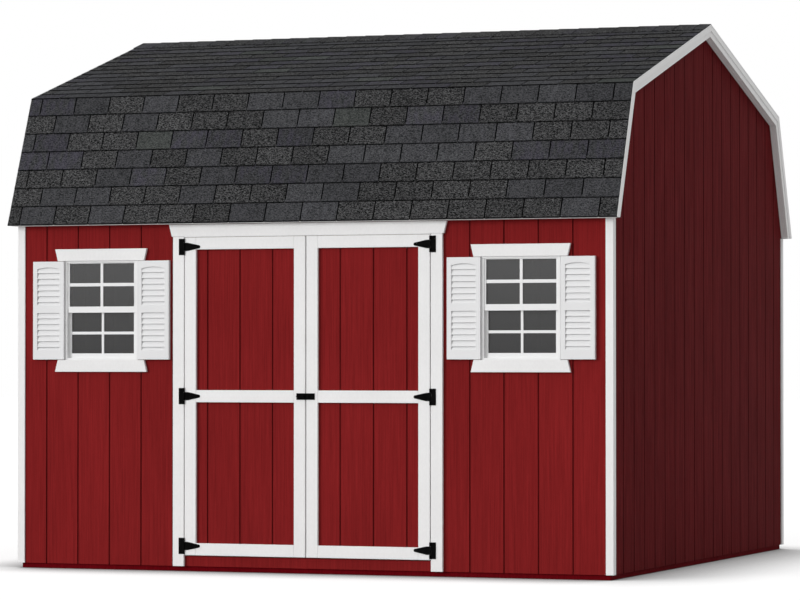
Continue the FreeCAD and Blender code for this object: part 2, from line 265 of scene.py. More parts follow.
# ---- material helper
class Flow:
    # one socket of a material's nodes; operators on it add Math nodes
    def __init__(self, tree, socket=None):
        self.tree = tree
        self.socket = socket

    def node(self, kind, settings=None, sockets=None, output=0):
        made = self.tree.nodes.new("ShaderNode" + kind)
        for name, value in (settings or {}).items():
            setattr(made, name, value)
        for name, value in (sockets or {}).items():
            if isinstance(value, Flow):
                self.tree.links.new(value.socket, made.inputs[name])
            elif isinstance(value, tuple) and made.inputs[name].type == "RGBA":
                made.inputs[name].default_value = (*value, 1)
            else:
                made.inputs[name].default_value = value
        return Flow(self.tree, made.outputs[output] if made.outputs else None)

    def sibling(self, output):
        # another output of the node that this one comes from
        return Flow(self.tree, self.socket.node.outputs[output])

    def maths(self, operation, *values):
        return self.node("Math", {"operation": operation}, dict(enumerate(values)))

    def __add__(self, other):
        return self.maths("ADD", self, other)

    def __radd__(self, other):
        return self.maths("ADD", other, self)

    def __mul__(self, other):
        return self.maths("MULTIPLY", self, other)

    def __rmul__(self, other):
        return self.maths("MULTIPLY", other, self)

    def __gt__(self, other):
        return self.maths("GREATER_THAN", self, other)

    def __lt__(self, other):
        return self.maths("LESS_THAN", self, other)

    def stretch(self, x, y, z):
        return self.node("VectorMath", {"operation": "MULTIPLY"}, {0: self, 1: (x, y, z)})

    def noise(self, detail, roughness=0.55):
        return self.node("TexNoise", None,
                         {"Vector": self, "Scale": 1.0, "Detail": detail, "Roughness": roughness})

    def ramp(self, low, high, start=0.0, end=1.0):
        places = {"Value": self, "From Min": low, "From Max": high, "To Min": start, "To Max": end}
        return self.node("MapRange", None, places)

    def blend(self, first, second):
        return self.node("Mix", {"data_type": "RGBA"}, {0: self, 6: first, 7: second}, output=2)

    def tinted(self, tint):
        # this colour multiplied by another
        return self.node("Mix", {"data_type": "RGBA", "blend_type": "MULTIPLY"},
                         {0: 1.0, 6: self, 7: tint}, output=2)

    def bump(self, distance, strength):
        return self.node("Bump", None, {"Height": self, "Distance": distance, "Strength": strength})


def newFinish(name):
    # an empty material with its object-space position
    material = bpy.data.materials.new(name)
    material.use_nodes = True
    material.node_tree.nodes.clear()
    place = Flow(material.node_tree).node("TexCoord", output=3)
    return material, place


def closeFinish(material, place, **sockets):
    names = {"colour": "Base Color", "roughness": "Roughness", "normal": "Normal",
             "specular": "Specular IOR Level", "alpha": "Alpha"}
    shader = place.node("BsdfPrincipled", None, {names[key]: value for key, value in sockets.items()})
    place.node("OutputMaterial", None, {"Surface": shader})
    return material


def scaled(colour, factor):
    return tuple(factor * part for part in colour)


def grey(level):
    return (level,) * 3


# ---- finishes
paintLook = {
    "red": (0.198, 0.0137, 0.0144),
    # the gables' red: the front red darkened as painted shade
    "gable": (0.1055, 0.0084, 0.0098),
    "skirt": (0.125, 0.0025, 0.0055),  # the floor frame's rim below the siding
    "white": (0.815, 0.81, 0.808),
    # a lighter copy of the trim white: painted light on the rake boards and lookouts, which stand in shade at the
    # gables
    "rake": (0.90, 0.895, 0.892),
    "sash": (0.82, 0.82, 0.82),
    "shutter": (0.76, 0.76, 0.765),
    "grain": 150.0,  # streaks per metre across the siding
    "gableGrain": 90.0,
    "grainAlong": 3.0,
    "streakDark": 0.20,  # how far streaks leave the paint's tone
    "streakLight": 0.18,
    "gableStreaks": 1.7,  # the gables' streaks differ this much more
    "grooveShade": 0.62,  # painted shade in the grooves, against the boards
    # painted shade in the gables' grooves, against the gables' boards
    "gableGrooveShade": 0.2,
    "boardGrain": 90.0,
}


def sidingPaint(name, colour, tone=1.0, streaks=1.0, across=paintLook["grain"]):
    # tone scales the whole paint; the groove finishes use it for painted shade
    material, place = newFinish(name)
    grain = place.stretch(across, across, paintLook["grainAlong"]).noise(4.0, 0.62)
    fine = place.stretch(across * 3, across * 3, 24).noise(2.0)
    broad = place.stretch(1.7, 1.7, 0.9).noise(2.0)
    lines = (grain * 0.75 + fine * 0.25).ramp(0.34, 0.66)
    dark = scaled(colour, (1 - paintLook["streakDark"] * streaks) * tone)
    light = scaled(colour, (1 + paintLook["streakLight"] * streaks) * tone)
    worn = broad.ramp(0.35, 0.7).blend(grey(0.93), grey(1.05))
    return closeFinish(material, place, colour=lines.blend(dark, light).tinted(worn),
                       roughness=lines.ramp(0, 1, 0.68, 0.56), specular=0.008, normal=lines.bump(0.0012, 0.4))


def boardPaint(name, colour):
    material, place = newFinish(name)
    across = paintLook["boardGrain"]
    grain = place.stretch(across, across, across * 0.55).noise(3.0, 0.6)
    broad = place.stretch(3.1, 3.1, 3.1).noise(2.0)
    tone = (grain * 0.5 + broad * 0.5).ramp(0.3, 0.7)
    return closeFinish(material, place, colour=tone.blend(scaled(colour, 0.95), scaled(colour, 1.03)),
                       roughness=grain.ramp(0.3, 0.7, 0.5, 0.62), specular=0.35, normal=grain.bump(0.0004, 0.4))


def mouldedWhite(name, colour):
    material, place = newFinish(name)
    pebble = place.stretch(700, 700, 700).noise(2.0)
    broad = place.stretch(5, 5, 5).noise(1.0)
    return closeFinish(material, place, colour=broad.ramp(0.3, 0.7).blend(scaled(colour, 0.97), colour),
                       roughness=pebble.ramp(0.3, 0.7, 0.34, 0.46), specular=0.45, normal=pebble.bump(0.0001, 0.3))


woodLook = {  # pale and deep tone of each bare wood
    "lumber": ((0.62, 0.45, 0.27), (0.40, 0.25, 0.13)),
    "panel": ((0.50, 0.36, 0.21), (0.34, 0.22, 0.12)),
    "floor": ((0.60, 0.44, 0.27), (0.42, 0.28, 0.16)),
    "flakes": ((0.60, 0.44, 0.26), (0.40, 0.26, 0.14)),
    "grainAcross": 58.0,
    "grainAlong": 2.6,
}


def bareWood(name, wood, along):
    # along: which of x, y, z the boards run
    material, place = newFinish(name)
    pale, deep = woodLook[wood]
    scale = [woodLook["grainAcross"]] * 3
    scale["xyz".index(along)] = woodLook["grainAlong"]
    bands = place.maths("FRACT", place.stretch(*scale).noise(3.0, 0.5) * 7.0)
    fibre = place.stretch(*[s * 7 for s in scale]).noise(2.0)
    tone = (bands.ramp(0.0, 1.0) * 0.55 + fibre * 0.45).ramp(0.15, 0.85)
    return closeFinish(material, place, colour=tone.blend(deep, pale), roughness=fibre.ramp(0.3, 0.7, 0.62, 0.78),
                       specular=0.25, normal=fibre.bump(0.0006, 0.5))


# sheathing pressed from flakes
roofSheet, place = newFinish("roof_sheet")
pale, deep = woodLook["flakes"]
flakes = place.node("TexVoronoi", None, {"Vector": place.stretch(46, 24, 34), "Scale": 1.0}, output=1)
value = flakes.node("SeparateColor", None, {"Color": flakes})
fibre = place.stretch(260, 260, 260).noise(2.0)
tone = (value * 0.7 + fibre * 0.3).ramp(0.1, 0.9)
closeFinish(roofSheet, place, colour=tone.blend(deep, pale), roughness=0.75, specular=0.2,
            normal=tone.bump(0.001, 0.4))

# shingles: each tab carries its own tone, speckle and tint, and its height above its lower edge, where a painted
# shade line runs
granuleLook = {  # dark and light granules of each kind of tab
    "plain": ((0.016, 0.0165, 0.018), (0.084, 0.085, 0.090)),
    "violet": ((0.016, 0.0155, 0.020), (0.078, 0.075, 0.092)),
    "green": ((0.024, 0.027, 0.0255), (0.096, 0.102, 0.098)),
    "speckled": ((0.004, 0.004, 0.0042), (0.130, 0.130, 0.132)),
    "tones": (0.755, 1.045),  # darkest and lightest tab
    "shadeLineRise": (0.003, 0.008),  # the painted shade line at a tab's lower edge fades out between these
    "shadeLineTone": 0.16,
}
granules, place = newFinish("shingle_granules")
look = place.node("Attribute", {"attribute_name": "tabLook"})
tabTone = look.node("SeparateColor", None, {"Color": look})
tint = tabTone.sibling(2)
rise = place.node("Attribute", {"attribute_name": "tabRise"}, output=2)
clusters = place.stretch(78, 215, 215).noise(1.0, 0.6)
grit = place.stretch(270, 270, 270).noise(0.0)
cloud = place.stretch(30, 12, 12).noise(2.0, 0.6)
flecks = (clusters * 0.55 + grit * 0.45).ramp(0.43, 0.66)
mottled = (clusters * 0.45 + grit * 0.40 + cloud * 0.15).ramp(0.40, 0.60)
plain, violet, green = [mottled.blend(*granuleLook[kind]) for kind in ("plain", "violet", "green")]
cool = (tint.ramp(0.0, 0.5) * cloud.ramp(0.42, 0.58)).blend(plain, violet)
coloured = tint.ramp(0.5, 1.0).blend(cool, green)
tab = tabTone.sibling(1).blend(coloured, flecks.blend(*granuleLook["speckled"]))
# painted shade along each tab's lower edge, where the butt shades
edge = rise.ramp(*granuleLook["shadeLineRise"], granuleLook["shadeLineTone"], 1.0)
closeFinish(granules, place, colour=tab.tinted(edge * tabTone.ramp(0.0, 1.0, *granuleLook["tones"])),
            roughness=0.95, specular=0.02, normal=(clusters * 0.6 + grit * 0.4).bump(0.0016, 0.5))

# felt, powder-coated steel, and glass painted dark grey as shade of the unlit room behind it
darkLook = {
    "felt": (0.0012, 0.0034),  # darkest and lightest grey
    "steel": (0.0010, 0.0036),
    "glassShadeTone": (0.055, 0.055, 0.056),
    "glassLitTone": (0.112, 0.112, 0.113),
    "glassLightHeights": (1.26, 1.79),  # painted light: the pane's tone climbs between these heights
    "glassAlpha": 0.55,
}
felt, place = newFinish("roof_felt")
weave = place.stretch(300, 300, 300).noise(2.0)
closeFinish(felt, place, colour=weave.blend(*map(grey, darkLook["felt"])), roughness=0.95, specular=0.0,
            normal=weave.bump(0.0005, 0.4))

blackSteel, place = newFinish("black_steel")
peel = place.stretch(1300, 1300, 1300).noise(1.5)
dust = place.stretch(22, 22, 22).noise(3.0)
closeFinish(blackSteel, place, colour=dust.ramp(0.35, 0.75).blend(*map(grey, darkLook["steel"])),
            roughness=peel.ramp(0.3, 0.7, 0.5, 0.65), specular=0.035, normal=peel.bump(0.00025, 0.5))

# the panes' grey is painted shade of the room behind, made lighter towards the top as painted light
paintedShadeGlass, place = newFinish("glass_painted_shade")
height = place.node("SeparateXYZ", None, {"Vector": place}, output=2)
dust = place.stretch(9, 9, 9).noise(3.0)
shade = height.ramp(*darkLook["glassLightHeights"]).blend(darkLook["glassShadeTone"], darkLook["glassLitTone"])
closeFinish(paintedShadeGlass, place, colour=shade, roughness=dust.ramp(0.3, 0.8, 0.03, 0.10), specular=0.5,
            alpha=darkLook["glassAlpha"])

sidingRed = sidingPaint("barn_red_siding", paintLook["red"])
# the grooves take a darker red: painted shade
grooveShadeRed = sidingPaint("barn_red_groove_shade", paintLook["red"], paintLook["grooveShade"])
# the gables take the darker red: painted shade
shadedGableRed = sidingPaint("barn_red_gable", paintLook["gable"], 1.0, paintLook["gableStreaks"], paintLook["gableGrain"])
shadedGableGroove = sidingPaint("barn_red_gable_groove_shade", paintLook["gable"], paintLook["gableGrooveShade"])
skirtRed = sidingPaint("barn_red_skirt", paintLook["skirt"])
trimWhite = boardPaint("trim_white", paintLook["white"])
litRakeWhite = boardPaint("rake_white_painted_light", paintLook["rake"])
sashWhite = mouldedWhite("sash_white", paintLook["sash"])
shutterWhite = mouldedWhite("shutter_white", paintLook["shutter"])
studWood = bareWood("stud_wood", "lumber", "z")
plateWood = bareWood("plate_wood", "lumber", "x")
crossWood = bareWood("cross_wood", "lumber", "y")
panelBack = bareWood("panel_back", "panel", "z")
floorWood = bareWood("floor_sheet", "floor", "x")
print("finishes ready")

# ---- places taken from the frame
wallLow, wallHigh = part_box("front_wall_left")
gableLow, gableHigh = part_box("right_gable_wall")
steepLow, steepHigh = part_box("front_lower_shingles")
upperLow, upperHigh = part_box("front_upper_shingles")
wallFace = wallLow.y  # the siding's front face
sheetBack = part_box("left_door_panel")[1].y  # its back face
studBack = wallHigh.y
wallTop = wallHigh.z
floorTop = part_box("floor_deck")[1].z

# ---- siding sheets
siding = {
    "pitch": 0.2032,  # groove to groove
    "width": 0.0095,  # across a groove's mouth
    "floor": 0.0060,
    "depth": 0.0050,
    "firstGroove": 0.1773,  # from the front's left edge
    "leafGrooves": {"left": -0.2126, "right": 0.2057},  # a groove's place on each leaf
    "edge": 0.008,  # no groove nearer to a sheet's edge
    "overrun": 0.05,  # a gable's sheet is made this much too tall and cut back
}


def grooveRow(known, low, high):
    # groove places between two ends, stepping both ways from a known one
    step = siding["pitch"]
    start = math.ceil((low + siding["edge"] - known) / step)
    stop = math.floor((high - siding["edge"] - known) / step)
    return [known + step * number for number in range(start, stop + 1)]


def sidingSheet(name, low, high, known, reds=(sidingRed, grooveShadeRed), outline=()):
    # one sheet that faces the front; known: a groove's place, or None for a plain sheet
    mouth = siding["width"] / 2
    floor = siding["floor"] / 2
    grooves = [] if known is None else grooveRow(known, low.x, high.x)
    sheet = trim(addBlock(name, (low.x, wallFace, low.z), (high.x, sheetBack, high.z)), *outline)
    openEdit(sheet)
    for groove in grooves:
        for half in (mouth, floor):
            planeCut((groove - half, 0, 0), (1, 0, 0))
            planeCut((groove + half, 0, 0), (1, 0, 0))
    closeEdit()
    paint(sheet, *reds, panelBack)
    nudge(sheet, (0, siding["depth"], 0),
          lambda m: m.y < wallFace + hair and any(abs(m.x - g) < floor for g in grooves), "faces")
    for face in sheet.data.polygons:
        m = face.center
        if m.y > sheetBack - hair:
            face.material_index = 2
        elif m.y < wallFace + siding["depth"] + 5 * hair and m.z > low.z + hair:
            # faces in a groove take the groove's painted shade
            face.material_index = int(any(abs(m.x - g) < mouth for g in grooves))
    return sheet


frontGroove = gableLow.y + siding["firstGroove"]
for node, name, known, opening in (
    ("front_wall_left", "front_siding_left", frontGroove, "left_window_frame"),
    ("front_wall_right", "front_siding_right", frontGroove, "right_window_frame"),
    ("front_wall_header", "front_siding_header", frontGroove, None),
    ("front_sill_strip", "front_siding_sill", None, None),
    ("back_wall", "back_siding", gableLow.y, None),
):
    sheet = sidingSheet(name, *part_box(node), known)
    if opening:
        low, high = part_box(opening)
        carve(sheet, addBlock("cutter", (low.x, wallFace - reach, low.z), (high.x, sheetBack + reach, high.z)))
    if node == "back_wall":
        settle(sheet, turn=(0, 0, math.pi))
    fit(sheet, "siding", node)

# ---- the front roof's two slopes, and planes that follow them
eavePoint = Vector((0, steepLow.y, steepLow.z))
breakPoint = Vector((0, upperLow.y, steepHigh.z))
ridgePoint = Vector((0, 0, upperHigh.z))
steepPitch = math.atan2(breakPoint.z - eavePoint.z, breakPoint.y - eavePoint.y)
upperPitch = math.atan2(ridgePoint.z - breakPoint.z, ridgePoint.y - breakPoint.y)
lean = (steepPitch - upperPitch) / 2  # the bevel where the slopes meet
slopes = {
    "lower": {
        "start": eavePoint,
        "run": (breakPoint - eavePoint).length,
        "pitch": steepPitch,
        "foot": (0, -math.sin(steepPitch), -math.cos(steepPitch)),  # cut level along the eave
        "head": (0, math.cos(lean), -math.sin(lean)),
        "courses": 7,
        "oddFirst": 0,
        "ridgeGap": 0.0,
    },
    "upper": {
        "start": breakPoint,
        "run": (ridgePoint - breakPoint).length,
        "pitch": upperPitch,
        "foot": (0, -math.cos(lean), -math.sin(lean)),
        "head": (0, math.cos(upperPitch), -math.sin(upperPitch)),  # cut upright along the ridge
        "courses": 14,
        "oddFirst": 1,  # its lowest course starts as an odd one
        "ridgeGap": 0.001,  # last course short of the slope's top
    },
}


def gableOutline(depth):
    # planes below the shingles' face, for a gable's piece that still faces the front
    planes = []
    for slope in slopes.values():
        for side in (-1, 1):
            normal = Vector((side * math.sin(slope["pitch"]), 0, math.cos(slope["pitch"])))
            planes.append((Vector((side * -breakPoint.y, 0, breakPoint.z)) - normal * depth, normal))
    return planes


roofDepth = 0.0485  # shingles and deck over the gable walls
low = Vector((gableLow.y, 0, gableLow.z))
high = Vector((gableHigh.y, 0, gableHigh.z + siding["overrun"]))
# the gables take the painted-shade reds, on the boards and in the grooves
reds = (shadedGableRed, shadedGableGroove)
fitGables(sidingSheet("right_gable_siding", low, high, gableLow.y, reds, gableOutline(roofDepth)), "siding")
print("siding hung")

# ---- wall framing behind the siding
framing = {
    "stud": 0.038,
    "spacing": 0.4064,
    "header": 0.089,
    "ease": 0.002,
    "gap": 0.0005,  # between a board and the sheet before it
    "endGap": 0.001,  # between a board and the next wall's
    "shortest": 0.03,
}
boardFront = sheetBack + framing["gap"]


def lumber(name, low, high, wood, outline=()):
    # a board behind the siding; low and high are places along the wall and heights
    board = addBlock(name, (low[0], boardFront, low[1]), (high[0], studBack, high[1]))
    return paint(ease(trim(board, *outline), framing["ease"]), wood)


def spaced(start, last):
    # places at the studs' spacing before the last one
    places = [start]
    while places[-1] + framing["spacing"] < last:
        places.append(places[-1] + framing["spacing"])
    return places


def frameWall(name, left, right, opening=None, gableTop=0, outline=()):
    # plates and studs of a wall that faces the front, with boards round an opening or studs up the gable
    thick = framing["stud"]
    foot = floorTop + thick
    top = wallTop - thick
    pieces = [lumber("sole", (left, floorTop), (right, foot), plateWood),
              lumber("plate", (left, top), (right, wallTop), plateWood)]
    for place in spaced(left + thick / 2, right - thick) + [right - thick / 2]:
        spans = [(foot, top), (wallTop, gableTop)]
        if opening and any(abs(place - edge) < thick * 1.1 for edge in opening[:2]):
            continue  # a jack stands here
        if opening and opening[0] < place < opening[1]:
            spans = [(foot, opening[2] - thick), (opening[3] + framing["header"], top)]
        for start, stop in spans:
            if stop - start > framing["shortest"]:
                ends = ((place - thick / 2, start), (place + thick / 2, stop))
                pieces.append(lumber("stud", *ends, studWood, outline))
    if opening:
        start, stop, bottom, head = opening
        for edge in (start - thick, stop):
            pieces.append(lumber("jack", (edge, foot), (edge + thick, top), studWood))
        pieces.append(lumber("sill", (start, bottom - thick), (stop, bottom), plateWood))
        pieces.append(lumber("lintel", (start, head), (stop, head + framing["header"]), plateWood))
    return joined(name, pieces)


windowLow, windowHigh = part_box("left_window_frame")
opening = (windowLow.x, windowHigh.x, windowLow.z, windowHigh.z)
fitLeftAndRight(frameWall("front_framing_left", wallLow.x, wallHigh.x, opening), "roof_deck", "front_wall_left")

low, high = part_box("front_wall_header")
seam = high.z - framing["stud"]
headerBoards = [lumber(name, (low.x + framing["endGap"], bottom), (high.x - framing["endGap"], top), plateWood)
                for name, bottom, top in (("lintel", low.z, seam - framing["gap"]), ("plate", seam, high.z))]
fit(joined("front_framing_header", headerBoards), "roof_deck", "front_wall_header")

low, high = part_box("back_wall")
fit(settle(frameWall("back_framing", low.x, high.x), turn=(0, 0, math.pi)), "roof_deck", "back_wall")

edge = studBack + framing["endGap"]
outline = gableOutline(roofDepth + framing["endGap"])
fitGables(frameWall("right_gable_framing", edge, -edge, None, gableHigh.z, outline), "roof_deck")
print("walls framed")

# ---- floor
fit(paint(easedCopy("floor_frame", "floor_rim_and_joists", 0.002), skirtRed), "frame_wood", "floor_frame")
paint(frame["nodes"]["floor_deck"], floorWood)

# ---- roof structure: sheathing, battens under it, and a white lookout over each gable
roofing = {
    "shingle": 0.008,
    "deck": 0.040,
    "sheet": 0.012,
    "batten": 0.038,
    "battenEdge": 0.012,  # first and last batten from the gable framing
    "gap": 0.0003,  # over the battens, and between the tabs and the drip edges
    "endGap": 0.0005,  # at the ends of the lookouts and the drip edges
    "overrun": 0.05,  # layers are made this much too long and cut back
    "ease": 0.001,
    "soffit": 0.0715,  # underside of the lookouts, level with the rake boards
    "tabPitch": 0.2232,
    "slot": 0.0080,
    "tabRound": 0.0009,
    "lap": 0.020,  # how far a tab runs under the next course
    "tail": 0.0042,  # top edge of a tab below the shingles' face
    "tabFoot": 0.001,  # underside of a tab above the deck
    "evenStart": 0.076,  # first slot from the left edge, even and odd courses
    "oddStart": 0.1876,
    "feltTop": 0.0062,  # felt under the tabs, below the shingles' face
    "lip": 0.002,  # white drip edge along the gable ends
    "lipEase": 0.0006,
    "capWidth": 0.150,
    "capLength": 0.127,
    "capLap": 0.012,
    "capThick": 0.004,
    "capLift": 0.0004,
    "speckled": 0.46,  # shares of the tabs
    "violet": 0.20,
    "green": 0.03,
}
insideX = gableLow.y + studBack - wallFace  # inner face of the left gable's framing
wallX = -gableLow.y


def onSlope(piece, slope):
    # lays a piece modelled flat, y up the slope and the shingles' face at z = 0, on the front roof
    return settle(piece, slope["start"], (slope["pitch"], 0, 0))


def roofLayer(name, slope, sides, low, high, finish):
    # a layer or batten of the front roof, cut to the bevels at its foot and head
    over = roofing["overrun"]
    layer = addBlock(name, (sides[0], -over, low), (sides[1], slope["run"] + over, high))
    trim(layer, ((0, 0, 0), slope["foot"]), ((0, slope["run"], 0), slope["head"]))
    return onSlope(paint(ease(layer, roofing["ease"]), finish), slope)


def roofStructure(name, slope):
    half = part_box("front_upper_roof_deck")[1].x
    top = -roofing["shingle"]
    bottom = top - roofing["deck"]
    starts = spaced(insideX + roofing["battenEdge"], -insideX)
    starts.append(-insideX - roofing["battenEdge"] - roofing["batten"])
    bars = [("batten", start, start + roofing["batten"], bottom, crossWood) for start in starts]
    for side in (-1, 1):
        overhang = sorted((side * (wallX + roofing["endGap"]), side * (half - roofing["endGap"])))
        bearing = sorted((side * -insideX, side * wallX))
        # the lookouts take the lighter white: painted light
        bars.append(("lookout", *overhang, -roofing["soffit"], litRakeWhite))
        bars.append(("bearer", *bearing, bottom + 0.001, crossWood))
    pieces = [roofLayer("sheathing", slope, (-half, half), top - roofing["sheet"], top, roofSheet)]
    for bar, left, right, low, finish in bars:
        pieces.append(roofLayer(bar, slope, (left, right), low, top - roofing["sheet"] - roofing["gap"], finish))
    return joined(name, pieces)


for label, slope in slopes.items():
    fitFrontAndBack(roofStructure(f"front_{label}_roof_framing", slope), "roof_deck", f"front_{label}_roof_deck")
print("roof framed")

# ---- shingles: one tab, a row of them, and courses of rows
chance = random.Random(41)
tabHalf = -steepLow.x - roofing["lip"] - roofing["gap"]


def markRise(piece, axis):
    # each point keeps its distance from its tab's lower edge, which places the painted shade line
    rise = piece.data.attributes.new("tabRise", "FLOAT", "POINT")
    for vertex in piece.data.vertices:
        rise.data[vertex.index].value = getattr(vertex.co, axis)


def wedgeTab(exposure):
    # one tab lying flat, which thins towards its upper edge under the next course
    side = roofing["slot"] / 2
    back = exposure + roofing["lap"]
    tab = addBlock("tab", (side, 0, roofing["tabFoot"] - roofing["shingle"]), (roofing["tabPitch"] - side, back, 0))
    nudge(tab, (0, 0, -roofing["tail"] / exposure * back), lambda m: m.y > exposure and m.z > -0.001)
    roundOff(tab, roofing["tabRound"], 2, lambda m: abs(m.y) < hair and m.z > -0.001)
    markRise(tab, "y")
    return tab


def tabLooks(count):
    # a seeded look for each tab in a course: tone, speckle, tint
    looks = []
    for _ in range(count):
        draw = chance.random()
        speckled = draw < roofing["speckled"]
        violet = not speckled and draw < roofing["speckled"] + roofing["violet"]
        green = draw > 1 - roofing["green"]
        tint = 1.0 if green else (0.5 if violet else chance.uniform(0.0, 0.12))
        looks.append((chance.random(), 1.0 if speckled else chance.uniform(0.0, 0.15), tint))
    return looks


def layCourse(tab, length, start, rise, looks):
    # copies the tab along the eave, trims the row's ends and gives each tab its look
    count = len(looks)
    row = duplicate(tab, "course", (start, 0, 0))
    repeat(row, count, (length, 0, 0))
    colour = row.data.attributes.new("tabLook", "FLOAT_COLOR", "POINT")
    for vertex in row.data.vertices:
        number = min(count - 1, max(0, int((vertex.co.x - start) / length)))
        colour.data[vertex.index].color = (*looks[number], 1)
    trim(row, ((tabHalf, 0, 0), (1, 0, 0)), ((-tabHalf, 0, 0), (-1, 0, 0)))
    return settle(paint(row, granules), (0, rise, 0))


def shingleSlope(name, slope):
    exposure = slope["run"] / slope["courses"]
    tab = wedgeTab(exposure)
    rows = []
    for course in range(slope["courses"]):
        first = roofing["oddStart"] if (course + slope["oddFirst"]) % 2 else roofing["evenStart"]
        start = -tabHalf - roofing["lip"] + first - roofing["tabPitch"]
        looks = tabLooks(math.ceil((tabHalf - start) / roofing["tabPitch"]))
        rows.append(layCourse(tab, roofing["tabPitch"], start, exposure * course, looks))
    bpy.data.objects.remove(tab)
    trim(rows[-1], ((0, slope["run"] - slope["ridgeGap"], 0), (0, 1, 0)))
    backing = roofLayer("felt", slope, (-tabHalf, tabHalf), -roofing["shingle"], -roofing["feltTop"], felt)
    return joined(name, [onSlope(joined(name, rows), slope), backing])


for label, slope in slopes.items():
    fitFrontAndBack(shingleSlope(f"front_{label}_roof_shingles", slope), "shingles", f"front_{label}_shingles")

# white lips along the gable edges of the shingles
lips = []
for slope in slopes.values():
    for side in (-1, 1):
        edge = -side * steepLow.x
        left, right = sorted((edge, edge - side * roofing["lip"]))
        lip = addBlock("lip", (left, roofing["endGap"], -roofing["shingle"]),
                       (right, slope["run"] - roofing["endGap"], 0))
        lips.append(onSlope(paint(ease(lip, roofing["lipEase"]), trimWhite), slope))
fitFrontAndBack(joined("front_drip_edges", lips), "white_trim")

# ridge caps, each folded over the ridge and lapping the one before
cap = addBlock("cap", (0, -roofing["capWidth"], 0),
               (roofing["capLength"] + roofing["capLap"], roofing["capWidth"], roofing["capThick"]))
openEdit(cap)
planeCut((0, 0, 0), (0, 1, 0))
closeEdit()
nudge(cap, (0, 0, -roofing["capWidth"] * math.tan(upperPitch)), lambda m: abs(m.y) > 0.1)
nudge(cap, (0, 0, -roofing["capThick"] * 0.7), lambda m: m.x > roofing["capLength"])
markRise(cap, "x")
caps = layCourse(cap, roofing["capLength"], -tabHalf, 0, tabLooks(math.ceil(2 * tabHalf / roofing["capLength"])))
bpy.data.objects.remove(cap)
settle(caps, (0, 0, ridgePoint.z + roofing["capLift"]))
caps.name = "ridge_shingles"
fit(caps, "shingles", "ridge_cap")
print("roof shingled")

# ---- white trim boards
boardEase = 0.0015
eaveEase = 0.001
for node, name in (
    ("left_rake_trim", "left_rake_boards"),
    ("right_rake_trim", "right_rake_boards"),
    ("front_eave_trim", "front_eave_board"),
    ("back_eave_trim", "back_eave_board"),
    ("front_corner_trim", "front_corner_boards"),
    ("back_corner_trim", "back_corner_boards"),
    ("door_casing", "door_casing_boards"),
    ("left_window_trim", "left_window_boards"),
    ("right_window_trim", "right_window_boards"),
):
    boards = easedCopy(node, name, eaveEase if "eave" in node else boardEase)
    # rake boards take the lighter white: painted light
    fit(paint(boards, litRakeWhite if "rake" in node else trimWhite), "white_trim", node)

# a slim strip under the door head closes most of the gap over the leaves
headStrip = {
    "drop": 0.0035,
    "rise": 0.0002,
    "face": 0.0006,  # strip behind the casing's front
    "end": 0.0005,
    "ease": 0.0008,
}
headLow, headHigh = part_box("front_wall_header")
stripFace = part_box("door_casing")[0].y + headStrip["face"]
strip = addBlock("door_head_strip", (headLow.x + headStrip["end"], stripFace, headLow.z - headStrip["drop"]),
                 (headHigh.x - headStrip["end"], wallFace, headLow.z + headStrip["rise"]))
fit(paint(ease(strip, headStrip["ease"]), trimWhite), "white_trim")
print("trim fixed")

# ---- double doors
doors = {
    "board": 0.070,
    "joint": 0.0004,
    "ease": 0.0014,
}
trimLow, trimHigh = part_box("left_door_trim")
latchLow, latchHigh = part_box("left_latch_plate")
latchZ = (latchLow.z + latchHigh.z) / 2


def ledges(name, low, high, finish):
    # two stiles and three rails, the middle one level with the latch
    wide = doors["board"]
    inner = trimHigh.x - wide  # the meeting stile's inside edge
    pieces = [addBlock("stile", low, (low.x + wide, high.y, high.z)),
              addBlock("stile", (inner, low.y, low.z), high)]
    for foot in (low.z, latchZ - wide / 2, high.z - wide):
        pieces.append(addBlock("rail", (low.x + wide + doors["joint"], low.y, foot),
                               (inner - doors["joint"], high.y, foot + wide)))
    return paint(joined(name, [ease(piece, doors["ease"]) for piece in pieces]), finish)


for leaf, known in siding["leafGrooves"].items():
    node = f"{leaf}_door_panel"
    fit(sidingSheet(f"{leaf}_door_siding", *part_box(node), known), "siding", node, body=f"{leaf}_door")
for part, finish, slotName in (("trim", trimWhite, "white_trim"), ("frame", studWood, "roof_deck")):
    node = f"left_door_{part}"
    fitLeftAndRight(ledges(f"{node}_boards", *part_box(node), finish), slotName, node, "left_door")
print("doors built")

# ---- strap hinges
iron = {
    "ease": 0.0006,
    "strap": 0.003,  # thickness over the door's boards
    "heights": (0.147, 1.013, 1.877),
    "screwRadius": 0.0042,
    "screwHeight": 0.0016,
    "screwRim": 0.0014,  # round the raised middle of a head
    "screwDome": 0.0004,
    "strapScrews": (0.030, 0.052, 0.078),  # from the pin along the strap
    "plateScrews": ((-0.024, 0.038), (-0.014, 0.016), (-0.024, -0.016), (-0.014, -0.038)),
}


def screwHead(x, face, z):
    # a low domed head on a face that looks to the front
    height = iron["screwHeight"]
    head = addRod("screw", iron["screwRadius"], height, (0, 0, height / 2), (0, 0, 0), 16)
    openEdit(head)
    pick(head, lambda m: m.z > height - hair)
    bpy.ops.mesh.inset(thickness=iron["screwRim"], depth=0)
    bpy.ops.transform.translate(value=(0, 0, iron["screwDome"]))
    closeEdit()
    return settle(head, (x, face + hair, z), (quarter, 0, 0))


def ironwork(name, pieces):
    # joins pieces into one that shades smoothly over its round faces
    whole = joined(name, pieces)
    choose(whole)
    bpy.ops.object.shade_smooth_by_angle(angle=math.radians(30))
    return paint(whole, blackSteel)


def screwedPlate(node, name, screws):
    return ironwork(name, [easedCopy(node, "plate", iron["ease"]), *[screwHead(*place) for place in screws]])


